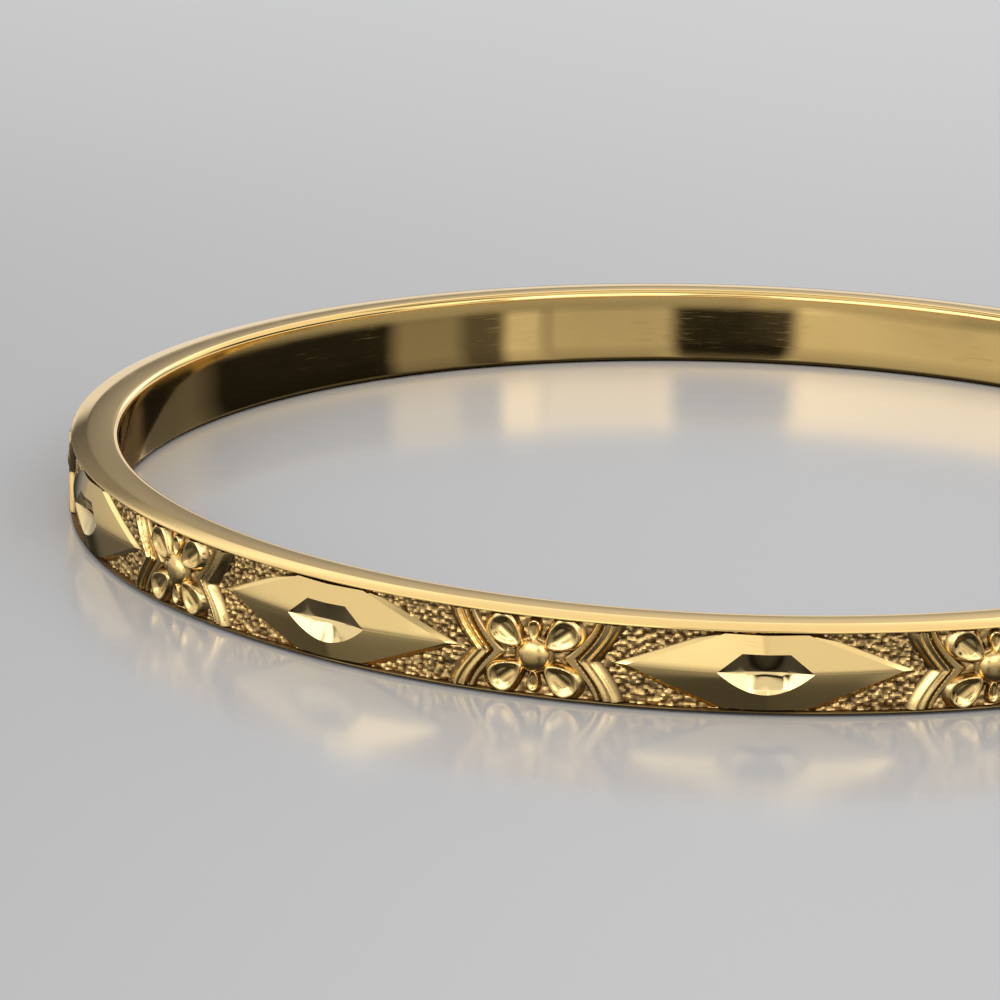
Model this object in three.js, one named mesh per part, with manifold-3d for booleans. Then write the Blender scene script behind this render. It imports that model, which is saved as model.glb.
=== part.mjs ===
// A closed bangle bracelet that slips over the hand. A plain liner channel carries both flat rims,
// a face strip is let in between the rims, and lozenges, flowers, beads and chevrons stand on the strip.
// Millimetres, +Z up. The bangle lies flat on z = 0, with its axis on Z.
import * as THREE from "three";
import { TessellateModifier } from "three/addons/modifiers/TessellateModifier.js";
import { mergeVertices } from "three/addons/utils/BufferGeometryUtils.js";
import Module from "manifold-3d";

const wasm = await Module();
wasm.setup();

// The ring
const INNER_RADIUS = 30;
const OUTER_RADIUS = 32.3;
const HEIGHT = 4;
const RING_SEGMENTS = 120;

// The liner channel: a rolled wall with a flange above and below it, each bevelled down to the face
const LINER_THICKNESS = 0.5;
const FLANGE_THICKNESS = 0.22;
const INNER_FILLET = 0.35;
const FILLET_STEPS = 2;
const BEVEL_WIDTH = 0.75;
const BEVEL_DROP = 0.15;

// The face strip, set back from the rims' edges
const FACE_RECESS = 0.25;
const STRIP_THICKNESS = 0.4;
const SOLDER_GAP = 0.03;

// The ornament, which repeats round the face: a lozenge, then a flower between two chevrons
const REPEATS = 10;
const PITCH = (2 * Math.PI) / REPEATS;
const EDGE_MARGIN = 0.05;

// A lozenge's upper and lower points would lie beyond the field, so the rims cut them off
const LOZENGE_HALF_LENGTH = 6.55;
const LOZENGE_HALF_HEIGHT = 2.6;
const LOZENGE_WALL = 0.08;
const LOZENGE_PEAK = 0.68;
const LOZENGE_STEP = 2.6;
const LOZENGE_SPLITS = 12;

// The hollow that a round cutter leaves in the middle of each lozenge
const EYE_HALF_LENGTH = 2.1;
const EYE_HALF_HEIGHT = 0.95;
const EYE_DEPTH = 0.36;
const EYE_CENTRE = 0.5;
const CUTTER_SEGMENTS = 12;
const CUTTER_RINGS = 6;

const BEAD_RADIUS = 0.74;
const BEAD_HEIGHT = 0.5;
const BEAD_SIDES = 10;
const BEAD_STEPS = 3;

const FLOWER_THICKNESS = 0.25;
const FLOWER_CORE = 0.92;
const FLOWER_POINTS = 36;
const PETAL_ANGLE = THREE.MathUtils.degToRad(40);
const PETAL_REACH = 1.45;
const PETAL_SPREAD = THREE.MathUtils.degToRad(16);
const SEPAL_REACH = 0.8;
const SEPAL_SPREAD = THREE.MathUtils.degToRad(8);

// A chevron's edges, as the distance from the flower's centre at mid-height and at the rims.
// The arms bow away from the flower, and ARM_BOW is 1 for straight ones.
const CHEVRON_THICKNESS = 0.28;
const CHEVRON_INNER = { middle: 1.3, rim: 2.7 };
const CHEVRON_OUTER = { middle: 2.85, rim: 4 };
const GROOVE_INNER = { middle: 1.85, rim: 2.95 };
const GROOVE_OUTER = { middle: 2.1, rim: 3.2 };
const GROOVE_FLOOR = 0.1;
const ARM_BOW = 1.5;
const ARM_STEPS = 4;
const CUT_CLEARANCE = 0.5;

const MERGE_TOLERANCE = 1e-4;

const faceRadius = OUTER_RADIUS - FACE_RECESS;
const ornamentRadius = faceRadius + SOLDER_GAP;
const fieldHalfHeight = HEIGHT / 2 - FLANGE_THICKNESS - EDGE_MARGIN;

const FINISHES = {
  rims: { color: 0xf0d699, roughness: 0.1 },
  face: { color: 0xb08a45, roughness: 0.45 },
  lozenge: { color: 0xfdee9f, roughness: 0.12 },
  flower: { color: 0xd9b668, roughness: 0.25 },
  bead: { color: 0xe6c878, roughness: 0.2 },
  chevron: { color: 0xdcbc70, roughness: 0.22 },
};

function gold(finish) {
  return new THREE.MeshStandardMaterial({ ...FINISHES[finish], metalness: 1 });
}

// A closed solid of revolution from [radius, height] pairs, turned so that its axis is Z.
function turned(profile, segments) {
  const points = [...profile, profile[0]].map(([radius, height]) => new THREE.Vector2(radius, height));
  return new THREE.LatheGeometry(points, segments).rotateX(Math.PI / 2);
}

// A geometry as a manifold-3d solid, for the cuts.
function solidOf(geometry) {
  const bare = geometry.clone();
  bare.deleteAttribute("normal");
  bare.deleteAttribute("uv");
  const merged = mergeVertices(bare, MERGE_TOLERANCE);
  const vertProperties = merged.getAttribute("position").array;
  const triVerts = new Uint32Array(merged.index.array);
  return new wasm.Manifold(new wasm.Mesh({ numProp: 3, vertProperties, triVerts }));
}

function geometryOf(solid) {
  const { vertProperties, triVerts } = solid.getMesh();
  const geometry = new THREE.BufferGeometry();
  geometry.setAttribute("position", new THREE.BufferAttribute(vertProperties, 3));
  geometry.setIndex(new THREE.BufferAttribute(triVerts, 1));
  return geometry;
}

// Bends a flat ornament round the face. Flat x runs along the band, y up it and z out of it.
function bentRoundFace(geometry) {
  const position = geometry.getAttribute("position");
  for (let i = 0; i < position.count; i++) {
    const angle = position.getX(i) / ornamentRadius;
    const radius = ornamentRadius + position.getZ(i);
    const height = HEIGHT / 2 + position.getY(i);
    position.setXYZ(i, radius * Math.sin(angle), -radius * Math.cos(angle), height);
  }
  geometry.computeVertexNormals();
  return geometry;
}

function linerChannel() {
  const profile = [
    [OUTER_RADIUS - BEVEL_WIDTH, 0],
    [OUTER_RADIUS, BEVEL_DROP],
    [OUTER_RADIUS, FLANGE_THICKNESS],
    [INNER_RADIUS + LINER_THICKNESS, FLANGE_THICKNESS],
    [INNER_RADIUS + LINER_THICKNESS, HEIGHT - FLANGE_THICKNESS],
    [OUTER_RADIUS, HEIGHT - FLANGE_THICKNESS],
    [OUTER_RADIUS, HEIGHT - BEVEL_DROP],
    [OUTER_RADIUS - BEVEL_WIDTH, HEIGHT],
  ];
  const corner = (centreHeight, startAngle) => {
    for (let i = 0; i <= FILLET_STEPS; i++) {
      const angle = startAngle + (i / FILLET_STEPS) * (Math.PI / 2);
      const radius = INNER_RADIUS + INNER_FILLET + INNER_FILLET * Math.cos(angle);
      profile.push([radius, centreHeight + INNER_FILLET * Math.sin(angle)]);
    }
  };
  corner(HEIGHT - INNER_FILLET, Math.PI / 2);
  corner(INNER_FILLET, Math.PI);
  return turned(profile, RING_SEGMENTS);
}

function faceStrip() {
  const low = FLANGE_THICKNESS + SOLDER_GAP;
  const high = HEIGHT - low;
  const back = faceRadius - STRIP_THICKNESS;
  return turned([[back, low], [faceRadius, low], [faceRadius, high], [back, high]], RING_SEGMENTS);
}

// A four-sided pyramid on a short wall, cut off at the field's edges and hollowed by the round cutter.
function lozenge() {
  const profile = [[0, 0], [1, 0], [1, LOZENGE_WALL], [0, LOZENGE_PEAK]];
  const pyramid = turned(profile, 4).scale(LOZENGE_HALF_LENGTH, LOZENGE_HALF_HEIGHT, 1);
  const field = new THREE.BoxGeometry(2 * LOZENGE_HALF_LENGTH, 2 * fieldHalfHeight, 2 * LOZENGE_PEAK);
  const cutter = new THREE.SphereGeometry(1, CUTTER_SEGMENTS, CUTTER_RINGS);
  cutter.scale(EYE_HALF_LENGTH, EYE_HALF_HEIGHT, EYE_DEPTH).translate(0, 0, EYE_CENTRE);
  const cut = solidOf(pyramid).intersect(solidOf(field)).subtract(solidOf(cutter));
  return bentRoundFace(new TessellateModifier(LOZENGE_STEP, LOZENGE_SPLITS).modify(geometryOf(cut)));
}

// Four petals on the diagonals and a sepal above and below, with a round seat for the bead.
function flower() {
  const lobe = (angle, centre, spread) => Math.exp(-(((angle - centre) / spread) ** 2));
  const outline = [];
  for (let i = 0; i < FLOWER_POINTS; i++) {
    const around = (i / FLOWER_POINTS) * 2 * Math.PI;
    const fromLevel = Math.asin(Math.abs(Math.sin(around)));
    const petal = PETAL_REACH * lobe(fromLevel, PETAL_ANGLE, PETAL_SPREAD);
    const sepal = SEPAL_REACH * lobe(fromLevel, Math.PI / 2, SEPAL_SPREAD);
    const reach = FLOWER_CORE + petal + sepal;
    outline.push(new THREE.Vector2(reach * Math.cos(around), reach * Math.sin(around)));
  }
  const shape = new THREE.Shape(outline);
  shape.holes.push(new THREE.Path().absarc(0, 0, BEAD_RADIUS + SOLDER_GAP, 0, 2 * Math.PI, true));
  const options = { depth: FLOWER_THICKNESS, bevelEnabled: false, curveSegments: BEAD_SIDES };
  return bentRoundFace(new THREE.ExtrudeGeometry(shape, options));
}

function bead() {
  const profile = [[0, 0]];
  for (let i = 0; i <= BEAD_STEPS; i++) {
    const angle = (i / BEAD_STEPS) * (Math.PI / 2);
    profile.push([BEAD_RADIUS * Math.cos(angle), BEAD_HEIGHT * Math.sin(angle)]);
  }
  return bentRoundFace(turned(profile, BEAD_SIDES));
}

// Points down one edge of a V with bowed arms, from its lower end to its upper end.
function bowedEdge(edge, halfHeight) {
  const points = [];
  for (let i = -ARM_STEPS; i <= ARM_STEPS; i++) {
    const share = i / ARM_STEPS;
    const spread = 1 - (1 - Math.abs(share)) ** ARM_BOW;
    const along = edge.middle + (edge.rim - edge.middle) * spread;
    points.push(new THREE.Vector2(along, share * halfHeight));
  }
  return points;
}

// A V-shaped plate that lies between an inner and an outer edge, with its point towards the flower.
// overrun carries both ends straight on past the field, for a plate that cuts another.
function vPlate(inner, outer, bottom, top, overrun = 0) {
  const outerEdge = bowedEdge(outer, fieldHalfHeight);
  const innerEdge = bowedEdge(inner, fieldHalfHeight).reverse();
  const reach = fieldHalfHeight + overrun;
  const ends = (x, y) => (overrun > 0 ? [new THREE.Vector2(x, y)] : []);
  const shape = new THREE.Shape([
    ...ends(outer.rim, -reach),
    ...outerEdge,
    ...ends(outer.rim, reach),
    ...ends(inner.rim, reach),
    ...innerEdge,
    ...ends(inner.rim, -reach),
  ]);
  const plate = new THREE.ExtrudeGeometry(shape, { depth: top - bottom, bevelEnabled: false });
  return plate.translate(0, 0, bottom);
}

// Two raised V bands with a groove between them. side is 1 to the right of the flower and -1 to its left.
function chevron(side) {
  const plate = vPlate(CHEVRON_INNER, CHEVRON_OUTER, 0, CHEVRON_THICKNESS);
  const grooveTop = CHEVRON_THICKNESS + CUT_CLEARANCE;
  const groove = vPlate(GROOVE_INNER, GROOVE_OUTER, GROOVE_FLOOR, grooveTop, CUT_CLEARANCE);
  const cut = geometryOf(solidOf(plate).subtract(solidOf(groove)));
  if (side < 0) cut.rotateZ(Math.PI);
  return bentRoundFace(cut);
}

const bangle = new THREE.Group();

function addPiece(name, geometry, material, angle = 0) {
  const mesh = new THREE.Mesh(geometry, material);
  mesh.name = name;
  mesh.rotation.z = angle;
  bangle.add(mesh);
}

addPiece("inner_channel", linerChannel(), gold("rims"));
addPiece("face_strip", faceStrip(), gold("face"));

for (let i = 0; i < REPEATS; i++) {
  const number = String(i + 1).padStart(2, "0");
  const lozengeAngle = i * PITCH;
  const flowerAngle = (i + 0.5) * PITCH;
  addPiece(`lozenge_${number}`, lozenge(), gold("lozenge"), lozengeAngle);
  addPiece(`flower_${number}`, flower(), gold("flower"), flowerAngle);
  addPiece(`flower_bead_${number}`, bead(), gold("bead"), flowerAngle);
  addPiece(`chevron_left_${number}`, chevron(-1), gold("chevron"), flowerAngle);
  addPiece(`chevron_right_${number}`, chevron(1), gold("chevron"), flowerAngle);
}

export default bangle;
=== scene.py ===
"""A closed bangle bracelet in polished yellow gold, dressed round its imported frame.

Every piece stands for one node of the frame. Lengths are in metres, +Z is up, and the ring's axis is Z.
"""

import logging
import math
from dataclasses import dataclass, field, replace
from enum import Enum, IntEnum
from typing import Any

import bmesh
import bpy
import numpy as np
from mathutils import Matrix, Vector


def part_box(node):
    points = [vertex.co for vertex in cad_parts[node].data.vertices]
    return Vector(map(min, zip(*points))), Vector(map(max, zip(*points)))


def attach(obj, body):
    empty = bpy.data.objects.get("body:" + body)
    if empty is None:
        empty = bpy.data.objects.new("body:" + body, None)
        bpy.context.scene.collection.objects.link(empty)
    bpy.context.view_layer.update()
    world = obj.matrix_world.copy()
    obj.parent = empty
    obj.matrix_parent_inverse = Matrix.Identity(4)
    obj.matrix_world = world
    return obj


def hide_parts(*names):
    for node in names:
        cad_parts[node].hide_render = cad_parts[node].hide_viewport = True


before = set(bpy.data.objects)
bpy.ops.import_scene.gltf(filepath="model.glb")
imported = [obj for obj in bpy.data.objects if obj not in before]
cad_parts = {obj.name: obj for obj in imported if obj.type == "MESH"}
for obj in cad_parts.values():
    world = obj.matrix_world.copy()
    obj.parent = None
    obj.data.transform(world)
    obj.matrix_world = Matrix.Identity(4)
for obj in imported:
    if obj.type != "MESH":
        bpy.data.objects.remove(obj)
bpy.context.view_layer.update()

MM = 0.001
MERGE_DISTANCE = 1e-8
MEASURE_SLACK = 1e-6
CREASE_ANGLE = math.radians(24)
ROOT_DEPTH = 0.04 * MM

log = logging.getLogger("bangle")

Colour = tuple[float, float, float]


class Side(IntEnum):
    """Which side of its flower a chevron stands on."""

    LEFT = -1
    RIGHT = 1


class Slot(Enum):
    """The record's material slots."""

    POLISHED = "polished_gold"
    STIPPLED = "stippled_gold"
    BRIGHT_CUT = "bright_cut_gold"
    CHASED = "chased_gold"


class Value:
    """A number on a shader socket. Arithmetic on it adds Math nodes."""

    def __init__(self, tree: "ShaderTree", socket: bpy.types.NodeSocket) -> None:
        """Wraps one output socket of the tree."""
        self.tree = tree
        self.socket = socket

    def _math(self, operation: str, first: Any, second: Any = 0.0) -> "Value":
        """Adds one Math node and returns its result."""
        return self.tree.value("ShaderNodeMath", {"operation": operation}, {0: first, 1: second})

    def __add__(self, other: Any) -> "Value":
        """Returns self + other."""
        return self._math("ADD", self, other)

    __radd__ = __add__

    def __sub__(self, other: Any) -> "Value":
        """Returns self - other."""
        return self._math("SUBTRACT", self, other)

    def __rsub__(self, other: Any) -> "Value":
        """Returns other - self."""
        return self._math("SUBTRACT", other, self)

    def __mul__(self, other: Any) -> "Value":
        """Returns self * other."""
        return self._math("MULTIPLY", self, other)

    __rmul__ = __mul__

    def __truediv__(self, other: Any) -> "Value":
        """Returns self / other."""
        return self._math("DIVIDE", self, other)

    def __rtruediv__(self, other: Any) -> "Value":
        """Returns other / self."""
        return self._math("DIVIDE", other, self)

    def root(self) -> "Value":
        """Returns the square root."""
        return self._math("SQRT", self)

    def size(self) -> "Value":
        """Returns self without its sign."""
        return self._math("ABSOLUTE", self)

    def at_least(self, low: float) -> "Value":
        """Returns self, or low where self is below it."""
        return self._math("MAXIMUM", self, low)

    def held(self) -> "Value":
        """Returns self kept between 0 and 1."""
        return self.tree.value("ShaderNodeClamp", {}, {"Value": self, "Min": 0.0, "Max": 1.0})

    def above(self, low: float, high: float) -> "Value":
        """Returns a ramp from 0 at low to 1 at high.

        Args:
            low: Where the ramp starts.
            high: Where it ends. It may be below low, and the ramp then falls.

        Returns:
            The ramp, kept between 0 and 1.
        """
        return ((self - low) * (1.0 / (high - low))).held()


class ShaderTree:
    """Adds nodes to one material or world."""

    def __init__(self, owner: bpy.types.Material | bpy.types.World) -> None:
        """Empties the owner's node tree and keeps it."""
        owner.use_nodes = True
        self.tree = owner.node_tree
        self.tree.nodes.clear()

    def node(self, kind: str, settings: dict[str, Any], inputs: dict[Any, Any]) -> bpy.types.Node:
        """Adds one node.

        Args:
            kind: The node's type.
            settings: Its properties, which are set first.
            inputs: Values or links for its sockets, by name or number.

        Returns:
            The new node.
        """
        made = self.tree.nodes.new(kind)
        for name, setting in settings.items():
            setattr(made, name, setting)
        for key, given in inputs.items():
            socket = made.inputs[key]
            if isinstance(given, Value):
                given = given.socket
            if isinstance(given, bpy.types.NodeSocket):
                self.tree.links.new(given, socket)
            else:
                socket.default_value = given
        return made

    def value(self, kind: str, settings: dict[str, Any], inputs: dict[Any, Any]) -> Value:
        """Adds one node and returns its first output as a Value."""
        return Value(self, self.node(kind, settings, inputs).outputs[0])

    def position(self) -> bpy.types.NodeSocket:
        """Returns the place on the object, in the ring's own frame."""
        return self.node("ShaderNodeTexCoord", {}, {}).outputs["Object"]

    def parts(self, place: bpy.types.NodeSocket) -> tuple[Value, Value, Value]:
        """Returns a vector's three numbers."""
        outputs = self.node("ShaderNodeSeparateXYZ", {}, {0: place}).outputs
        return Value(self, outputs[0]), Value(self, outputs[1]), Value(self, outputs[2])

    def vector(self, across: Value, along: Value, up: Value) -> bpy.types.NodeSocket:
        """Returns a vector made of three numbers."""
        return self.node("ShaderNodeCombineXYZ", {}, {0: across, 1: along, 2: up}).outputs[0]

    def dot(self, first: bpy.types.NodeSocket, second: Vector) -> Value:
        """Returns the dot product of a vector socket and a fixed vector."""
        made = self.node("ShaderNodeVectorMath", {"operation": "DOT_PRODUCT"}, {0: first, 1: second})
        return Value(self, made.outputs["Value"])

    def noise(self, place: bpy.types.NodeSocket, scale: float, detail: float) -> Value:
        """Returns a noise value between 0 and 1 with features of about 1 / scale."""
        return self.value("ShaderNodeTexNoise", {}, {"Vector": place, "Scale": scale, "Detail": detail})

    def mix(self, factor: Value, first: Any, second: Any) -> bpy.types.NodeSocket:
        """Mixes two colours.

        Args:
            factor: 0 gives the first colour and 1 the second.
            first: A colour or a colour socket.
            second: A colour or a colour socket.

        Returns:
            The mixed colour's socket.
        """
        low, high = ((*given, 1.0) if isinstance(given, tuple) else given for given in (first, second))
        made = self.node("ShaderNodeMix", {"data_type": "RGBA"}, {0: factor, 6: low, 7: high})
        return made.outputs[2]


@dataclass(frozen=True)
class GoldFinish:
    """A worked gold surface: its colour, how it is polished, and the painted shade that darkens its low
    places.
    """

    name: str
    colour: Colour
    shade: Colour
    roughness: float
    roughness_spread: float
    line_depth: float
    grain_depth: float
    grain_size: float
    recess_shade: float = 0.0
    low_radius: float = 0.0
    high_radius: float = 1.0
    cloud_size: float = 2.4 * MM
    line_length: float = 1.6 * MM
    line_fineness: float = 30.0
    line_range: tuple[float, float] = (0.6, 0.78)
    worn_range: tuple[float, float] = (0.42, 0.62)
    shade_share: float = 0.6
    cloud_middle: float = 0.4
    recess_shade_least: float = 0.6
    recess_shade_spread: float = 0.8
    recess_shade_tint: Colour = (0.13, 0.12, 0.16)
    scuff_roughness: float = 0.14
    recess_shade_roughness: float = 0.32

    def material(self) -> bpy.types.Material:
        """Builds the finish as a material.

        Returns:
            The new material.
        """
        material = bpy.data.materials.new(self.name)
        tree = ShaderTree(material)
        place = tree.position()
        across, along, up = tree.parts(place)
        radius = (across * across + along * along).root()
        polish = tree.vector(across, along, (up + radius) * self.line_fineness)
        cloud = tree.noise(place, 1 / self.cloud_size, 4.0)
        lines = tree.noise(polish, 1 / self.line_length, 2.0)
        grain = tree.noise(place, 1 / self.grain_size, 3.0)
        scuffs = lines.above(*self.line_range) * cloud.above(*self.worn_range)

        # Painted shade: below high_radius the colour darkens towards a dark brown gold, fully at low_radius
        # and unevenly with the grain, and the roughness rises with it.
        uneven = (self.recess_shade_least + self.recess_shade_spread * grain).held()
        low = radius.above(self.high_radius, self.low_radius) * uneven * self.recess_shade
        plated = tree.mix((cloud * self.shade_share).held(), self.colour, self.shade)
        colour = tree.mix(low.held(), plated, self._recess_shade_colour())
        polish_change = self.roughness_spread * (cloud - self.cloud_middle) + self.scuff_roughness * scuffs
        roughness = self.roughness + polish_change + self.recess_shade_roughness * low
        height = lines * self.line_depth + grain * self.grain_depth - scuffs * self.line_depth
        bump = tree.node("ShaderNodeBump", {}, {"Strength": 1.0, "Distance": 1.0, "Height": height})
        inputs = {"Base Color": colour, "Metallic": 1.0, "Roughness": roughness.held()}
        shader = tree.node("ShaderNodeBsdfPrincipled", {}, {**inputs, "Normal": bump.outputs[0]})
        tree.node("ShaderNodeOutputMaterial", {}, {"Surface": shader.outputs[0]})
        return material

    def _recess_shade_colour(self) -> Colour:
        """Returns the dark brown gold that paints shade into a recess."""
        red, green, blue = (shade * tint for shade, tint in zip(self.shade, self.recess_shade_tint))
        return (red, green, blue)


class MeshDraft:
    """Grids of points that become one smooth, closed mesh."""

    def __init__(self) -> None:
        """Starts with nothing."""
        self.points: list[np.ndarray] = []
        self.faces: list[tuple[int, ...]] = []
        self.slots: list[int] = []
        self.count = 0

    def add_grid(
        self, grid: np.ndarray, wrap_rows: bool = False, wrap_columns: bool = False, slot: int = 0
    ) -> None:
        """Adds a grid of quads.

        Args:
            grid: Points as an array of rows, columns and three coordinates.
            wrap_rows: Joins the last row to the first.
            wrap_columns: Joins the last column to the first.
            slot: The material slot of these faces.
        """
        rows, columns = grid.shape[:2]
        number = np.arange(rows * columns).reshape(rows, columns) + self.count
        if wrap_rows:
            number = np.vstack([number, number[:1]])
        if wrap_columns:
            number = np.hstack([number, number[:, :1]])
        corners = [number[:-1, :-1], number[:-1, 1:], number[1:, 1:], number[1:, :-1]]
        quads = np.stack(corners, -1).reshape(-1, 4)
        self.faces.extend(map(tuple, quads.tolist()))
        self.slots.extend([slot] * len(quads))
        self.points.append(grid.reshape(-1, 3))
        self.count += rows * columns

    def add_cap(self, ring: np.ndarray) -> None:
        """Closes an outline with one flat face.

        Args:
            ring: The outline's points, in order.
        """
        self.faces.append(tuple(range(self.count, self.count + len(ring))))
        self.slots.append(0)
        self.points.append(ring)
        self.count += len(ring)

    def build(self, name: str) -> bpy.types.Object:
        """Joins the grids, turns the faces outwards and marks the creases.

        Args:
            name: The new object's name.

        Returns:
            The object, linked to the scene.
        """
        mesh = bpy.data.meshes.new(name)
        mesh.from_pydata(np.concatenate(self.points).tolist(), [], self.faces)
        mesh.polygons.foreach_set("material_index", self.slots)
        work = bmesh.new()
        work.from_mesh(mesh)
        bmesh.ops.remove_doubles(work, verts=work.verts, dist=MERGE_DISTANCE)
        bmesh.ops.dissolve_degenerate(work, edges=work.edges, dist=MERGE_DISTANCE)
        bmesh.ops.recalc_face_normals(work, faces=work.faces)
        work.to_mesh(mesh)
        work.free()
        mesh.polygons.foreach_set("use_smooth", [True] * len(mesh.polygons))
        mesh.set_sharp_from_angle(angle=CREASE_ANGLE)
        made = bpy.data.objects.new(name, mesh)
        bpy.context.scene.collection.objects.link(made)
        return made


def soft_abs(values: np.ndarray, softness: float) -> np.ndarray:
    """Returns the size of each value, rounded over near zero."""
    return np.sqrt(values * values + softness * softness) - softness


def circle(count: int) -> np.ndarray:
    """Returns evenly spaced angles once round, as one row."""
    return np.linspace(0, 2 * math.pi, count, endpoint=False)[None, :]


def eased(start: float, end: float, values: np.ndarray) -> np.ndarray:
    """Returns a smooth step from 0 at start to 1 at end."""
    share = np.clip((values - start) / (end - start), 0.0, 1.0)
    return share * share * (3.0 - 2.0 * share)


@dataclass(frozen=True)
class Band:
    """The ring's main sizes, measured on the frame, and the way a flat pattern bends round it."""

    inner_radius: float
    outer_radius: float
    height: float
    face_radius: float
    field_half_height: float
    flat_radius: float
    bevel_drop: float
    repeats: int

    @classmethod
    def from_frame(cls) -> "Band":
        """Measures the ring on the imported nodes.

        Returns:
            The band.
        """
        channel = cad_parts["inner_channel"].data
        radii = [math.hypot(v.co.x, v.co.y) for v in channel.vertices]
        low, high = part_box("inner_channel")
        strip_low, strip_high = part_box("face_strip")
        strip_radius = max(math.hypot(v.co.x, v.co.y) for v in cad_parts["face_strip"].data.vertices)
        inner, outer = min(radii), max(radii)
        heights = [vertex.co.z for vertex in channel.vertices]
        top_radii = [radius for radius, height in zip(radii, heights) if height > high.z - MEASURE_SLACK]
        lip_heights = [height for radius, height in zip(radii, heights) if radius > outer - MEASURE_SLACK]
        return cls(
            inner_radius=inner,
            outer_radius=outer,
            height=high.z - low.z,
            face_radius=strip_radius,
            field_half_height=(strip_high.z - strip_low.z) / 2,
            flat_radius=max(top_radii),
            bevel_drop=high.z - max(lip_heights),
            repeats=sum(name.startswith("lozenge_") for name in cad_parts),
        )

    @property
    def pitch(self) -> float:
        """The angle from one lozenge to the next."""
        return 2 * math.pi / self.repeats

    def flower_turn(self, number: int) -> float:
        """Returns a flower's place, halfway from its lozenge to the next."""
        return (number - 0.5) * self.pitch

    def bent(self, along: np.ndarray, up: np.ndarray, out: np.ndarray, turn: float) -> np.ndarray:
        """Bends a flat pattern round the face.

        Args:
            along: Distances along the band.
            up: Distances above its middle.
            out: Heights above the face strip.
            turn: Where the pattern's middle goes, as an angle from -Y towards +X.

        Returns:
            The points, with a last axis of three.
        """
        along, up, out = np.broadcast_arrays(along, up, out)
        angle = along / self.face_radius + turn
        radius = self.face_radius + out
        return np.stack([radius * np.sin(angle), -radius * np.cos(angle), self.height / 2 + up], -1)


def finish_piece(
    piece: bpy.types.Object, node: str, slot: Slot, materials: list[bpy.types.Material]
) -> None:
    """Dresses a piece, hides its node, ties it to the root body and reports it.

    Args:
        piece: The finished mesh.
        node: The node of the frame that it stands for.
        slot: The record's slot that its finish comes from.
        materials: Its materials, in slot order.
    """
    for material in materials:
        piece.data.materials.append(material)
    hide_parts(node)
    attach(piece, "root")
    log.info("%s: %d faces, %s", piece.name, len(piece.data.polygons), slot.value)


@dataclass
class LinerChannel:
    """The rolled channel: the polished inner wall and both rims, each a flat with an outer bevel."""

    band: Band
    wall: float = 0.5 * MM
    solder_gap: float = 0.03 * MM
    inner_fillet: float = 0.35 * MM
    crown: float = 0.014 * MM
    edge_round: float = 0.04 * MM
    corner_shares: tuple[float, float] = (0.3, 0.1)
    waviness: float = 0.004 * MM
    waves: tuple[int, ...] = (5, 9, 14, 23)
    wavy_share: float = 0.8
    bevel_shares: tuple[float, ...] = (0.04, 0.1, 0.4, 0.7, 0.9)
    bevel_hollow: float = 0.2
    flat_steps: int = 8
    fillet_steps: int = 8
    columns: int = 720

    @property
    def flange(self) -> float:
        """The thickness of each rim, from the strip that is let in between them."""
        return self.band.height / 2 - self.band.field_half_height - self.solder_gap

    def rim(self) -> list[tuple[float, float]]:
        """Shapes the upper rim: a crowned flat, then a shallow bevel down to the face.

        Returns:
            Its section, as pairs of radius and height.
        """
        band = self.band
        half = band.height / 2
        start, end, outer = band.inner_radius + self.inner_fillet, band.flat_radius, band.outer_radius
        bevel_bottom = half - band.bevel_drop
        points = []
        for share in np.linspace(-1, 1, self.flat_steps + 1):
            radius = start + (end - start) * (share + 1) / 2
            points.append((radius, half - self.crown * share * share))
        slope = (bevel_bottom - half + self.crown) / (outer - end)
        for share in self.bevel_shares:
            distance = share * (outer - end)
            rise = slope * distance * (1 - self.bevel_hollow * (1 - share))
            points.append((end + distance, half - self.crown + rise))
        back, down = (share * self.edge_round for share in self.corner_shares)
        points.append((outer - back, bevel_bottom - down))
        points.append((outer, bevel_bottom - self.edge_round))
        return points

    def profile(self) -> np.ndarray:
        """Shapes the polished part of the section, from the lower lip round to the upper one.

        Returns:
            Rows of radius and height.
        """
        half, inner, fillet = self.band.height / 2, self.band.inner_radius, self.inner_fillet
        upper = [(inner, 0.0), (inner, (half - fillet) / 2), (inner, half - fillet)]
        for step in range(1, self.fillet_steps):
            share = step / self.fillet_steps
            angle = math.pi - share * math.pi / 2
            drop = self.crown * share + fillet * (1 - math.sin(angle))
            upper.append((inner + fillet * (1 + math.cos(angle)), half - drop))
        upper += self.rim()
        upper.append((self.band.outer_radius, half - self.flange))
        lower = [(radius, -height) for radius, height in reversed(upper[1:])]
        return np.array(lower + upper)

    def recess(self) -> np.ndarray:
        """Shapes the hidden part of the section, where the strip is let in.

        Returns:
            Rows of radius and height.
        """
        half = self.band.height / 2 - self.flange
        outer, floor = self.band.outer_radius, self.band.inner_radius + self.wall
        return np.array([(outer, half), (floor, half), (floor, -half), (outer, -half)])

    def build(self, materials: list[bpy.types.Material]) -> bpy.types.Object:
        """Builds and dresses the channel.

        Args:
            materials: The polished finish and the finish of the recess.

        Returns:
            The piece.
        """
        angle = circle(self.columns)
        swell = sum(np.sin(n * angle + n * n) / n for n in self.waves) * self.waviness
        wavy_reach = self.band.inner_radius + self.wavy_share * self.wall
        draft = MeshDraft()
        for slot, section in enumerate((self.profile(), self.recess())):
            radius = section[:, :1] + swell * (section[:, :1] < wavy_reach)
            height = np.broadcast_to(section[:, 1:] + self.band.height / 2, (len(section), self.columns))
            points = np.stack([radius * np.sin(angle), -radius * np.cos(angle), height], -1)
            draft.add_grid(points, wrap_columns=True, slot=slot)
        piece = draft.build("liner_channel")
        finish_piece(piece, "inner_channel", Slot.POLISHED, materials)
        return piece


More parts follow.
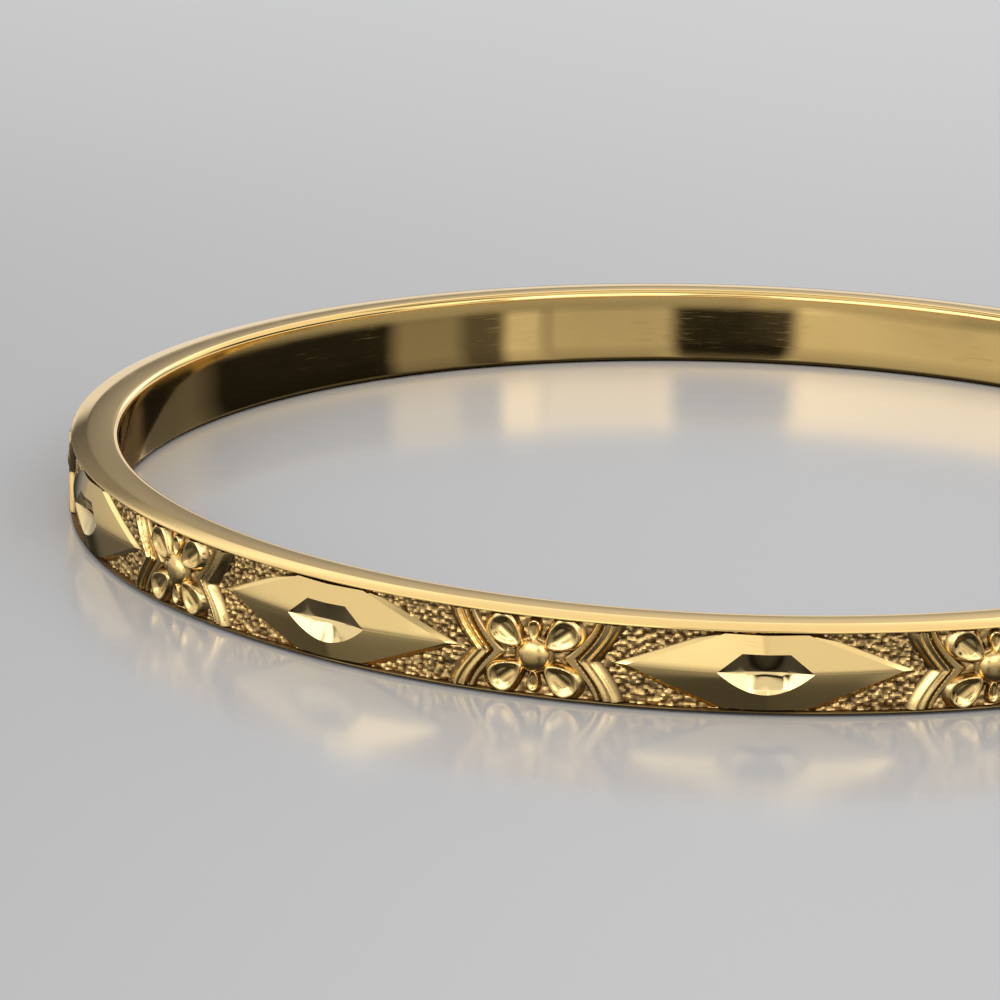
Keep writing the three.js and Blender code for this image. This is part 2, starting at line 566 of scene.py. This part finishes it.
@dataclass
class FaceStrip:
    """The strip between the rims, its face punched all over into irregular grains."""

    band: Band
    thickness: float = 0.4 * MM
    rows: int = 42
    columns: int = 2250
    grain: float = 0.22 * MM
    grain_height: float = 0.15 * MM
    proud: float = 0.04 * MM
    quiet_half_width: float = 2.0 * MM
    quiet_edge: float = 0.8 * MM
    quiet_share: float = 0.6
    seed: int = 7
    spare_rows: int = 4
    first_row: float = 1.5
    scatter: float = 0.48
    least_size: float = 0.35
    steepness: float = 1.5
    dome_top: float = 0.85
    line_bottom: float = -0.3

    def grains(self, along: np.ndarray, up: np.ndarray) -> np.ndarray:
        """Heights of the punched grains.

        Each grain is a dome round a scattered centre, and the deepest lines run where domes meet.

        Args:
            along: Distances round the face.
            up: Distances above its middle.

        Returns:
            Heights at or below the face.
        """
        draw = np.random.default_rng(self.seed)
        length = 2 * math.pi * self.band.face_radius
        around = int(round(length / self.grain))
        across = int(2 * self.band.field_half_height / self.grain) + self.spare_rows
        shift = draw.uniform(-self.scatter, self.scatter, (around, across, 2))
        size = draw.uniform(self.least_size, 1.0, (around, across))
        column = along / length * around
        row = (up + self.band.field_half_height) / self.grain + self.first_row
        best = np.full(np.broadcast(along, up).shape, -1.0)
        for step_along in (-1, 0, 1):
            for step_up in (-1, 0, 1):
                i = np.floor(column).astype(int) + step_along
                j = np.clip(np.floor(row).astype(int) + step_up, 0, across - 1)
                centre = shift[i % around, j]
                apart = (column - i - 0.5 - centre[..., 0]) ** 2 + (row - j - 0.5 - centre[..., 1]) ** 2
                best = np.maximum(best, size[i % around, j] - apart * self.steepness)
        dome = np.clip(best, self.line_bottom, self.dome_top) - self.dome_top
        return dome / (self.dome_top - self.line_bottom) * self.grain_height

    def build(self, materials: list[bpy.types.Material]) -> bpy.types.Object:
        """Builds and dresses the strip.

        Args:
            materials: The stippled finish.

        Returns:
            The piece.
        """
        band = self.band
        length = 2 * math.pi * band.face_radius
        along = np.linspace(0, length, self.columns, endpoint=False)[None, :]
        up = np.linspace(-band.field_half_height, band.field_half_height, self.rows)[:, None]
        pitch = length / band.repeats
        from_flower = np.abs(along % pitch - pitch / 2)
        quiet_end = self.quiet_half_width + self.quiet_edge
        open_ground = eased(self.quiet_half_width, quiet_end, from_flower)
        loudness = self.quiet_share + (1 - self.quiet_share) * open_ground
        front = band.bent(along, up, self.grains(along, up) * loudness + self.proud, 0.0)
        edges = np.array([band.field_half_height, -band.field_half_height])[:, None]
        back = band.bent(along, edges, np.full((2, 1), -self.thickness), 0.0)
        draft = MeshDraft()
        draft.add_grid(np.concatenate([front, back]), wrap_rows=True, wrap_columns=True)
        piece = draft.build("stippled_strip")
        finish_piece(piece, "face_strip", Slot.STIPPLED, materials)
        return piece


@dataclass
class Lozenge:
    """A long low pyramid cut off by both rims, with a bright-cut eye in its middle."""

    band: Band
    half_length: float = 6.55 * MM
    half_height: float = 2.6 * MM
    edge_margin: float = 0.03 * MM
    bevel: float = 0.56 * MM
    rim_bevel: float = 0.05 * MM
    wall: float = 0.08 * MM
    peak: float = 0.68 * MM
    crease_softness: float = 0.07 * MM
    ridge_softness: float = 0.17 * MM
    eye_half_length: float = 2.07 * MM
    eye_flat: float = 1.03 * MM
    eye_up: float = 0.86 * MM
    eye_down: float = 0.95 * MM
    eye_floor: float = 0.14 * MM
    wall_hollow: float = 1.12
    scoop_radius: float = 0.74 * MM
    scoop_depth: float = 0.008 * MM
    scoop_edge: float = 0.18 * MM
    columns: int = 72
    facet_rows: int = 22
    eye_rows: int = 14

    def facet_height(self, along: np.ndarray, up: np.ndarray) -> np.ndarray:
        """Heights of the four facets, with their ridges softened.

        Args:
            along: Distances from the middle, along the band.
            up: Distances above the middle.

        Returns:
            Heights above the face.
        """
        lengthwise = soft_abs(along, self.crease_softness) / self.half_length
        upwards = soft_abs(up, self.ridge_softness) / self.half_height
        return self.wall + (self.peak - self.wall) * np.clip(1 - lengthwise - upwards, 0.0, 1.0)

    def outline(self, share: np.ndarray, inset: float, rim_inset: float) -> tuple[np.ndarray, np.ndarray]:
        """Walks along the upper half of the cut-off outline.

        Args:
            share: From -1 at one tip to 1 at the other.
            inset: How far the tips are drawn in.
            rim_inset: How far the straight edges along the rims are drawn in.

        Returns:
            Distances along the band and above its middle.
        """
        length = self.half_length - inset
        height = self.half_height * length / self.half_length
        limit = self.band.field_half_height - self.edge_margin - rim_inset
        return share * length, np.minimum(height * (1 - np.abs(share)), limit)

    def eye_top(self, along: np.ndarray) -> np.ndarray:
        """Returns the eye's upper outline: flat in the middle, with straight sloping ends."""
        slope = (self.eye_half_length - np.abs(along)) / (self.eye_half_length - self.eye_flat)
        return self.eye_up * np.clip(slope, 0.0, 1.0)

    def eye_bottom(self, along: np.ndarray) -> np.ndarray:
        """Returns the eye's lower outline, one smooth bow."""
        return -self.eye_down * (1 - (along / self.eye_half_length) ** 2)

    def eye_grid(self, along: np.ndarray) -> tuple[np.ndarray, np.ndarray]:
        """Heights inside the eye: a valley along its middle between two walls.

        Args:
            along: The columns' places, from corner to corner.

        Returns:
            The rows' places up the band and their heights.
        """
        share = (along / self.eye_half_length) ** 2
        corner = self.facet_height(np.array([self.eye_half_length]), np.array([0.0]))[0]
        valley = self.eye_floor + (corner - self.eye_floor) * share
        step = np.linspace(0, 1, self.eye_rows)[:, None]
        ups, heights = [], []
        for outline in (self.eye_bottom(along), self.eye_top(along)):
            rim = self.facet_height(along, outline)
            ups.append(outline * step)
            heights.append(valley + (rim - valley) * step**self.wall_hollow)
        up = np.concatenate([ups[0][::-1], ups[1][1:]])
        height = np.concatenate([heights[0][::-1], heights[1][1:]])
        reach = np.hypot(np.broadcast_to(along, up.shape), up + self.eye_down / 2)
        inside = eased(self.scoop_radius + self.scoop_edge, self.scoop_radius, reach)
        below = eased(0.0, -self.scoop_edge, up) * eased(0.0, self.scoop_edge, up - self.eye_bottom(along))
        return up, height - self.scoop_depth * inside * below

    def build(self, number: int, materials: list[bpy.types.Material]) -> bpy.types.Object:
        """Builds and dresses one lozenge.

        Args:
            number: Its place round the band, from 1.
            materials: The facets' finish and the eye's finish.

        Returns:
            The piece.
        """
        turn = (number - 1) * self.band.pitch
        kink = 1 - (self.band.field_half_height - self.edge_margin) / self.half_height
        share = np.append(-np.cos(np.linspace(0, math.pi, self.columns + 1)), [-kink, kink])
        share.sort()
        eye_along = share * self.eye_half_length
        top_along, top_up = self.outline(share, self.bevel, self.rim_bevel)
        foot_along, foot_up = self.outline(share, 0.0, 0.0)
        draft = MeshDraft()
        up, height = self.eye_grid(eye_along)
        draft.add_grid(self.band.bent(eye_along, up, height, turn), slot=1)
        step = np.linspace(0, 1, self.facet_rows)[:, None]
        for way, eye_edge in ((1, self.eye_top(eye_along)), (-1, self.eye_bottom(eye_along))):
            along = eye_along + (top_along - eye_along) * step
            rise = eye_edge + (way * top_up - eye_edge) * step
            heights = self.facet_height(along, rise)
            draft.add_grid(self.band.bent(along, rise, heights, turn))
            side_along = np.stack([top_along, foot_along, foot_along])
            side_up = way * np.stack([top_up, foot_up, foot_up])
            side_out = np.stack([heights[-1], np.zeros_like(share), np.full_like(share, -ROOT_DEPTH)])
            draft.add_grid(self.band.bent(side_along, side_up, side_out, turn))
        under = np.stack([-foot_up, foot_up])
        draft.add_grid(self.band.bent(foot_along, under, np.full((2, 1), -ROOT_DEPTH), turn))
        piece = draft.build(f"cut_lozenge_{number:02d}")
        finish_piece(piece, f"lozenge_{number:02d}", Slot.BRIGHT_CUT, materials)
        return piece


@dataclass(frozen=True)
class ArmLine:
    """One line of a chevron, as its distance from the flower's centre at mid-height and at the rims."""

    middle: float
    rim: float
    bow: float = 1.5
    point_softness: float = 0.04

    def along(self, level: np.ndarray) -> np.ndarray:
        """Returns the line's distance at each level, from -1 at the lower rim to 1 at the upper."""
        spread = np.clip(soft_abs(level, self.point_softness), 0.0, 1.0)
        return self.middle + (self.rim - self.middle) * (1 - (1 - spread) ** self.bow)


@dataclass
class Chevron:
    """A raised V pointing at the flower: a low band, a groove, a thin ridge and a broad sloping band."""

    band: Band
    edge_margin: float = 0.03 * MM
    inner: ArmLine = ArmLine(1.22 * MM, 2.66 * MM)
    groove: ArmLine = ArmLine(1.95 * MM, 3.03 * MM)
    outer: ArmLine = ArmLine(3.0 * MM, 4.02 * MM)
    inner_height: float = 0.15 * MM
    inner_slope_share: float = 0.4
    ridge_height: float = 0.27 * MM
    crest_height: float = 0.33 * MM
    dip_height: float = 0.2 * MM
    groove_height: float = 0.02 * MM
    groove_half_width: float = 0.13 * MM
    ridge_width: float = 0.16 * MM
    flank_width: float = 0.5 * MM
    rows: int = 61
    columns: int = 57

    def section(self, along: np.ndarray, level: np.ndarray) -> np.ndarray:
        """Heights of the V, rounded over at every ridge and in every hollow.

        Args:
            along: Distances from the flower's centre.
            level: From -1 at the lower rim to 1 at the upper.

        Returns:
            Heights above the face.
        """
        inner, groove, outer = (line.along(level) for line in (self.inner, self.groove, self.outer))
        ridge = groove + self.groove_half_width
        crest = outer - self.flank_width
        dip = (ridge + self.ridge_width + crest) / 2
        marks = [
            (inner, 0.0),
            (inner + self.inner_slope_share * (groove - inner), self.inner_height),
            (groove - self.groove_half_width, self.inner_height),
            (groove, self.groove_height),
            (ridge, self.ridge_height),
            (dip, self.dip_height),
            (np.maximum(crest, dip + self.edge_margin), self.crest_height),
            (outer, 0.0),
        ]
        height = np.zeros(np.broadcast(along, level).shape)
        for (start, low), (end, high) in zip(marks, marks[1:]):
            height += (high - low) * eased(start, end, along)
        return height

    def build(self, number: int, side: Side, materials: list[bpy.types.Material]) -> bpy.types.Object:
        """Builds and dresses one chevron.

        Args:
            number: Its flower's number, from 1.
            side: Which side of the flower it stands on.
            materials: The chased finish.

        Returns:
            The piece.
        """
        turn = self.band.flower_turn(number)
        half_height = self.band.field_half_height - self.edge_margin
        level = np.linspace(-1, 1, self.rows)[:, None]
        inner, outer = self.inner.along(level), self.outer.along(level)
        along = inner + (outer - inner) * np.linspace(0, 1, self.columns)[None, :]
        top = self.band.bent(side * along, level * half_height, self.section(along, level), turn)
        ends = np.concatenate([outer, inner], 1)
        under = self.band.bent(side * ends, level * half_height, np.array([[-ROOT_DEPTH]]), turn)
        loops = np.concatenate([top, under], 1)
        draft = MeshDraft()
        draft.add_grid(loops, wrap_columns=True)
        draft.add_cap(loops[0])
        draft.add_cap(loops[-1])
        word = side.name.lower()
        piece = draft.build(f"chased_chevron_{word}_{number:02d}")
        finish_piece(piece, f"chevron_{word}_{number:02d}", Slot.CHASED, materials)
        return piece


@dataclass(frozen=True)
class Leaf:
    """One petal or sepal: a raised outline with a broad outer flank round a dished, grooved middle."""

    angle: float
    centre: float
    half_length: float
    half_width: float
    flare: float
    crest: float
    dish: float
    groove: float
    foot_reach: float = 1.15
    crest_reach: float = 0.78
    dish_reach: float = 0.4
    dish_slant: float = 0.35
    vein_share: float = 0.22
    vein_end: float = 0.85
    vein_full: float = 0.35

    def height(self, along: np.ndarray, up: np.ndarray) -> np.ndarray:
        """Heights of the leaf alone.

        Args:
            along: Distances from the flower's centre, along the band.
            up: Distances above it.

        Returns:
            Heights above the face, zero or less outside the leaf.
        """
        cosine, sine = math.cos(self.angle), math.sin(self.angle)
        forward = (along * cosine + up * sine - self.centre) / self.half_length
        sideways = up * cosine - along * sine
        width = self.half_width * (1 + self.flare * np.clip(forward, -1.0, 1.0))
        reach = np.hypot(forward, sideways / width)
        body = self.crest * eased(self.foot_reach, self.crest_reach, reach)
        slant = 1 + self.dish_slant * (np.clip(forward, -1.0, 1.0) - 1)
        hollow = self.dish * eased(self.crest_reach, self.dish_reach, reach) * slant
        vein = np.exp(-((sideways / (self.vein_share * self.half_width)) ** 2))
        return body - hollow - self.groove * vein * eased(self.vein_end, self.vein_full, reach)


@dataclass
class Flower:
    """Four flaring petals that reach for the field's corners, and a slim sepal above and below."""

    band: Band
    seat_radius: float = 0.5 * MM
    disc_radius: float = 0.94 * MM
    disc_height: float = 0.13 * MM
    disc_top_share: float = 0.8
    edge_height: float = 0.01 * MM
    edge_margin: float = 0.03 * MM
    petal: Leaf = Leaf(
        angle=math.radians(38),
        centre=1.58 * MM,
        half_length=0.98 * MM,
        half_width=0.72 * MM,
        flare=0.45,
        crest=0.33 * MM,
        dish=0.18 * MM,
        groove=0.07 * MM,
    )
    sepal: Leaf = Leaf(
        angle=math.pi / 2,
        centre=1.12 * MM,
        half_length=0.55 * MM,
        half_width=0.3 * MM,
        flare=0.4,
        crest=0.25 * MM,
        dish=0.11 * MM,
        groove=0.06 * MM,
    )
    columns: int = 288
    rows: int = 44
    probes: int = 220
    search_share: float = 1.2
    least_sine: float = 0.1

    def leaves(self) -> list[Leaf]:
        """Turns the petal and the sepal to their places.

        Returns:
            All six leaves.
        """
        steep = self.petal.angle
        angles = (steep, math.pi - steep, math.pi + steep, -steep)
        petals = [replace(self.petal, angle=angle) for angle in angles]
        return petals + [self.sepal, replace(self.sepal, angle=-self.sepal.angle)]

    def height(self, along: np.ndarray, up: np.ndarray) -> np.ndarray:
        """Heights of the whole flower.

        Args:
            along: Distances from its centre, along the band.
            up: Distances above it.

        Returns:
            Heights above the face.
        """
        disc_top = self.disc_top_share * self.disc_radius
        total = self.disc_height * eased(self.disc_radius, disc_top, np.hypot(along, up))
        for leaf in self.leaves():
            total = np.maximum(total, leaf.height(along, up))
        return total

    def reach(self, angle: np.ndarray) -> np.ndarray:
        """Finds how far the flower reaches in each direction.

        Args:
            angle: Directions round its centre.

        Returns:
            The distance at which its height runs out, kept inside the field.
        """
        longest = self.petal.centre + self.search_share * self.petal.half_length
        distance = np.linspace(0, longest, self.probes)[:, None]
        standing = self.height(distance * np.cos(angle), distance * np.sin(angle)) > self.edge_height
        furthest = np.max(np.where(standing, distance, 0.0), axis=0, keepdims=True)
        limit = self.band.field_half_height - self.edge_margin
        return np.minimum(furthest, limit / np.maximum(np.abs(np.sin(angle)), self.least_sine))

    def build(self, number: int, materials: list[bpy.types.Material]) -> bpy.types.Object:
        """Builds and dresses one flower.

        Args:
            number: Its place round the band, from 1.
            materials: The chased finish.

        Returns:
            The piece.
        """
        turn = self.band.flower_turn(number)
        angle = circle(self.columns)
        share = np.linspace(0, 1, self.rows)[:, None]
        radius = self.seat_radius + (self.reach(angle) - self.seat_radius) * share
        along, up = radius * np.cos(angle), radius * np.sin(angle)
        top = self.band.bent(along, up, self.height(along, up) + self.edge_height, turn)
        under = self.band.bent(along[[-1, 0]], up[[-1, 0]], np.full((2, 1), -ROOT_DEPTH), turn)
        draft = MeshDraft()
        draft.add_grid(np.concatenate([top, under]), wrap_rows=True, wrap_columns=True)
        piece = draft.build(f"looped_flower_{number:02d}")
        finish_piece(piece, f"flower_{number:02d}", Slot.CHASED, materials)
        return piece


@dataclass
class Bead:
    """The domed bead in the middle of a flower, on a narrow foot."""

    band: Band
    radius: float = 0.74 * MM
    rise: float = 0.5 * MM
    foot: float = 0.05 * MM
    fullness: float = 0.9
    unevenness: float = 0.02
    lobes: int = 3
    sides: int = 48
    steps: int = 14

    def build(self, number: int, materials: list[bpy.types.Material]) -> bpy.types.Object:
        """Builds and dresses one bead.

        Args:
            number: Its flower's number, from 1.
            materials: The bright finish.

        Returns:
            The piece.
        """
        turn = self.band.flower_turn(number)
        angle = circle(self.sides)
        slope = np.linspace(0, math.pi / 2, self.steps)[:, None]
        dome = self.radius * np.cos(slope) ** self.fullness
        height = self.foot + (self.rise - self.foot) * np.sin(slope)
        uneven = 1 + self.unevenness * np.sin(self.lobes * angle + number) * np.cos(slope)
        radius = np.concatenate([np.zeros((1, 1)), np.full((1, 1), self.radius), dome])
        heights = np.concatenate([np.full((2, 1), -ROOT_DEPTH), height])
        radius = np.concatenate([radius[:2] * np.ones_like(angle), radius[2:] * uneven])
        draft = MeshDraft()
        points = self.band.bent(radius * np.cos(angle), radius * np.sin(angle), heights, turn)
        draft.add_grid(points, wrap_columns=True)
        piece = draft.build(f"domed_bead_{number:02d}")
        finish_piece(piece, f"flower_bead_{number:02d}", Slot.BRIGHT_CUT, materials)
        return piece


@dataclass
class Ornament:
    """Everything that stands on the face strip, one repeat after another."""

    band: Band
    facets: GoldFinish
    eye: GoldFinish
    bead: GoldFinish
    chased: GoldFinish

    def build(self) -> None:
        """Builds every lozenge, flower, bead and chevron."""
        finishes = (self.facets, self.eye, self.bead, self.chased)
        facets, eye, bead, chased = (finish.material() for finish in finishes)
        for number in range(1, self.band.repeats + 1):
            Lozenge(self.band).build(number, [facets, eye])
            Flower(self.band).build(number, [chased])
            Bead(self.band).build(number, [bead])
            for side in Side:
                Chevron(self.band).build(number, side, [chased])


@dataclass(frozen=True)
class Softbox:
    """A soft panel of light far from the ring. Its azimuth runs from -Y towards +X, in degrees."""

    azimuth: float
    elevation: float
    half_width: float
    half_height: float
    strength: float
    soft_edge: float
    least_depth: float = 0.05
    fade_depth: float = 0.1

    def light(self, tree: ShaderTree, direction: bpy.types.NodeSocket) -> Value:
        """Adds the panel's nodes.

        Args:
            tree: The room's node tree.
            direction: The direction that the light comes from.

        Returns:
            The panel's light from each direction.
        """
        turn, rise = math.radians(self.azimuth), math.radians(self.elevation)
        level = math.cos(rise)
        right = Vector((math.cos(turn), math.sin(turn), 0.0))
        centre = Vector((math.sin(turn) * level, -math.cos(turn) * level, math.sin(rise)))
        facing = tree.dot(direction, centre)
        depth = facing.at_least(self.least_depth)
        across = (tree.dot(direction, right) / depth).size()
        upwards = (tree.dot(direction, right.cross(centre)) / depth).size()
        inside = self._edge(across, self.half_width) * self._edge(upwards, self.half_height)
        return inside * facing.above(0.0, self.fade_depth) * self.strength

    def _edge(self, offset: Value, half_angle: float) -> Value:
        """Returns 1 inside one pair of the panel's edges and 0 outside them."""
        inner, outer = (math.tan(math.radians(half_angle + way * self.soft_edge / 2)) for way in (-1, 1))
        return offset.above(outer, inner)


@dataclass(frozen=True)
class LightRing:
    """A ring of light round the whole room, between two elevations in degrees, both well under 90."""

    low: float
    high: float
    strength: float
    soft_edge: float = 2.0

    def light(self, tree: ShaderTree, direction: bpy.types.NodeSocket) -> Value:
        """Adds the ring's nodes.

        Args:
            tree: The room's node tree.
            direction: The direction that the light comes from.

        Returns:
            The ring's light from each direction.
        """
        height = tree.parts(direction)[2]
        half = self.soft_edge / 2
        rising = height.above(self._height(self.low - half), self._height(self.low + half))
        falling = height.above(self._height(self.high + half), self._height(self.high - half))
        return rising * falling * self.strength

    def _height(self, elevation: float) -> float:
        """Returns how high a direction of unit length points."""
        return math.sin(math.radians(elevation))


@dataclass
class Studio:
    """The floor, the lit room and the camera.

    The camera's distance and height are in inner radii of the ring, and its turns in degrees.
    """

    band: Band
    floor_half_size: float = 3.0
    floor_colour: Colour = (0.54, 0.54, 0.55)
    floor_roughness: float = 0.16
    gloss_colour: Colour = (0.01, 0.01, 0.011)
    gloss_roughness: float = 0.03
    room_light: float = 0.02
    backdrop_light: float = 0.5
    camera_azimuth: float = -2.873
    camera_level_distance: float = 8.33216
    camera_height: float = 2.33923
    camera_yaw: float = 2.6247
    camera_pitch: float = 0.0584
    camera_roll: float = -1.4685
    focal_length: float = 191.16
    sensor_width: float = 36.0
    clip_range: tuple[float, float] = (0.01, 10.0)
    lights: list[Softbox | LightRing] = field(
        default_factory=lambda: [
            # A low ring for the upright faces, a high one for the slopes, and a panel overhead.
            LightRing(-2, 12, 0.8),
            LightRing(28, 54, 0.95, 6),
            Softbox(0, 90, 27, 27, 0.8, 8),
            # Panels in front, which the inner wall mirrors with dark gaps between them.
            Softbox(-44, 27, 30, 14.5, 2.1, 3),
            Softbox(23, 27, 12.5, 14.5, 1.7, 3),
            Softbox(40.5, 27, 4, 14.5, 2.3, 3),
            Softbox(49, 27, 5, 14.5, 0.3, 4),
            Softbox(61.5, 27, 7.5, 14.5, 0.9, 4),
            # Weaker fill in front, a panel on the left, and the far side, which the rims mirror.
            Softbox(0, 24.5, 13, 5, 0.75, 3),
            Softbox(-25, 8, 20, 5, 0.25, 4),
            Softbox(-108, 22, 30, 8, 0.9, 4),
            Softbox(161, 20, 8, 7, 1.6, 4),
            Softbox(152, 23, 29, 9, 0.5, 11),
            Softbox(180, 23, 28, 8, 0.22, 10),
            Softbox(170, 29, 40, 3.5, 0.4, 5),
        ]
    )

    def build_floor(self) -> None:
        """Lays the plain pale floor, which the polished metal mirrors as dark gloss."""
        draft = MeshDraft()
        corners = np.array([[[-1, -1, 0], [1, -1, 0]], [[-1, 1, 0], [1, 1, 0]]], float)
        draft.add_grid(corners * self.floor_half_size)
        floor = draft.build("floor")
        material = bpy.data.materials.new("pale_floor")
        tree = ShaderTree(material)
        pale = self._coat(tree, self.floor_colour, self.floor_roughness)
        dark = self._coat(tree, self.gloss_colour, self.gloss_roughness)
        seen = tree.node("ShaderNodeLightPath", {}, {}).outputs["Is Camera Ray"]
        shader = tree.node("ShaderNodeMixShader", {}, {0: seen, 1: dark, 2: pale})
        tree.node("ShaderNodeOutputMaterial", {}, {"Surface": shader.outputs[0]})
        floor.data.materials.append(material)

    def _coat(self, tree: ShaderTree, colour: Colour, roughness: float) -> bpy.types.NodeSocket:
        """Returns the shader of one plain surface."""
        settings = {"Base Color": (*colour, 1.0), "Roughness": roughness}
        return tree.node("ShaderNodeBsdfPrincipled", {}, settings).outputs[0]

    def build_room(self) -> None:
        """Lights the room. A camera that looks past the floor sees a plain backdrop."""
        world = bpy.data.worlds.new("room")
        bpy.context.scene.world = world
        tree = ShaderTree(world)
        direction = tree.node("ShaderNodeTexCoord", {}, {}).outputs["Generated"]
        total = self.room_light
        for source in self.lights:
            total = source.light(tree, direction) + total
        seen = Value(tree, tree.node("ShaderNodeLightPath", {}, {}).outputs["Is Camera Ray"])
        strength = total * (1 - seen) + self.backdrop_light * seen
        inputs = {"Color": (1.0, 1.0, 1.0, 1.0), "Strength": strength}
        light = tree.node("ShaderNodeBackground", {}, inputs)
        tree.node("ShaderNodeOutputWorld", {}, {"Surface": light.outputs[0]})

    def build_camera(self) -> None:
        """Stands the camera in front of the ring and above it, aimed a little to the left of its middle."""
        turn = Matrix.Rotation(math.radians(self.camera_azimuth), 3, "Z")
        scale = self.band.inner_radius
        place = Vector((0.0, -self.camera_level_distance, self.camera_height)) * scale
        forward = -place.normalized()
        right = Vector((1.0, 0.0, 0.0))
        yaw = Matrix.Rotation(math.radians(self.camera_yaw), 3, "Z")
        forward, right = yaw @ forward, yaw @ right
        forward = Matrix.Rotation(math.radians(self.camera_pitch), 3, right) @ forward
        up = right.cross(forward)
        roll = Matrix.Rotation(math.radians(self.camera_roll), 3, forward)
        right, up = roll @ right, roll @ up
        facing = Matrix((right, up, -forward)).transposed()
        data = bpy.data.cameras.new("camera")
        data.lens = self.focal_length
        data.sensor_width = self.sensor_width
        data.clip_start, data.clip_end = self.clip_range
        camera = bpy.data.objects.new("camera", data)
        camera.matrix_world = (turn @ facing).to_4x4()
        camera.location = turn @ place
        bpy.context.scene.collection.objects.link(camera)
        bpy.context.scene.camera = camera

    def build(self) -> None:
        """Builds the whole studio."""
        bpy.context.scene.view_settings.view_transform = "Standard"
        self.build_camera()
        self.build_floor()
        self.build_room()


def main() -> None:
    """Builds the bangle and its studio."""
    logging.basicConfig(level=logging.INFO, format="%(name)s: %(message)s")
    band = Band.from_frame()
    log.info("inner radius %.2f mm, outer radius %.2f mm", band.inner_radius / MM, band.outer_radius / MM)
    polished = GoldFinish(
        "polished_rims",
        colour=(0.97, 0.68, 0.26),
        shade=(0.93, 0.6, 0.2),
        roughness=0.06,
        roughness_spread=0.05,
        line_depth=0.0005 * MM,
        grain_depth=0.0002 * MM,
        grain_size=0.12 * MM,
    )
    stippled = GoldFinish(
        "punched_ground",
        colour=(0.95, 0.66, 0.27),
        shade=(0.85, 0.52, 0.18),
        roughness=0.24,
        roughness_spread=0.1,
        line_depth=0.001 * MM,
        grain_depth=0.014 * MM,
        grain_size=0.06 * MM,
        # painted shade darkens the hollows between the punched grains
        recess_shade=0.9,
        low_radius=band.face_radius - 0.07 * MM,
        high_radius=band.face_radius + 0.03 * MM,
    )
    # The hidden recess is darkened all over by the same painted shade.
    recess = replace(
        stippled,
        name="dull_recess_painted_shade",
        low_radius=band.outer_radius,
        high_radius=band.outer_radius + 0.1 * MM,
    )
    facets = GoldFinish(
        "bright_cut_facets",
        colour=(0.98, 0.72, 0.31),
        shade=(0.94, 0.64, 0.25),
        roughness=0.09,
        roughness_spread=0.05,
        line_depth=0.0006 * MM,
        grain_depth=0.0003 * MM,
        grain_size=0.1 * MM,
        # painted shade darkens each lozenge's foot, next to the face
        recess_shade=0.8,
        low_radius=band.face_radius,
        high_radius=band.face_radius + 0.05 * MM,
    )
    eye = GoldFinish(
        "bright_cut_eye",
        colour=(0.99, 0.76, 0.37),
        shade=(0.96, 0.69, 0.3),
        roughness=0.045,
        roughness_spread=0.03,
        line_depth=0.0008 * MM,
        grain_depth=0.0003 * MM,
        grain_size=0.1 * MM,
    )
    chased = GoldFinish(
        "chased_relief",
        colour=(0.96, 0.69, 0.29),
        shade=(0.9, 0.59, 0.22),
        roughness=0.13,
        roughness_spread=0.08,
        line_depth=0.0015 * MM,
        grain_depth=0.004 * MM,
        grain_size=0.08 * MM,
        # painted shade darkens the relief's lower parts, towards the face
        recess_shade=0.9,
        low_radius=band.face_radius + 0.03 * MM,
        high_radius=band.face_radius + 0.19 * MM,
    )
    bead = replace(
        chased,
        name="burnished_bead",
        shade=(0.9, 0.6, 0.22),
        roughness=0.24,
        line_depth=0.0008 * MM,
        grain_depth=0.003 * MM,
        # painted shade darkens the bead round its foot
        low_radius=band.face_radius + 0.05 * MM,
        high_radius=band.face_radius + 0.24 * MM,
    )
    LinerChannel(band).build([polished.material(), recess.material()])
    FaceStrip(band).build([stippled.material()])
    Ornament(band, facets, eye, bead, chased).build()
    Studio(band).build()


if __name__ == "__main__":
    main()
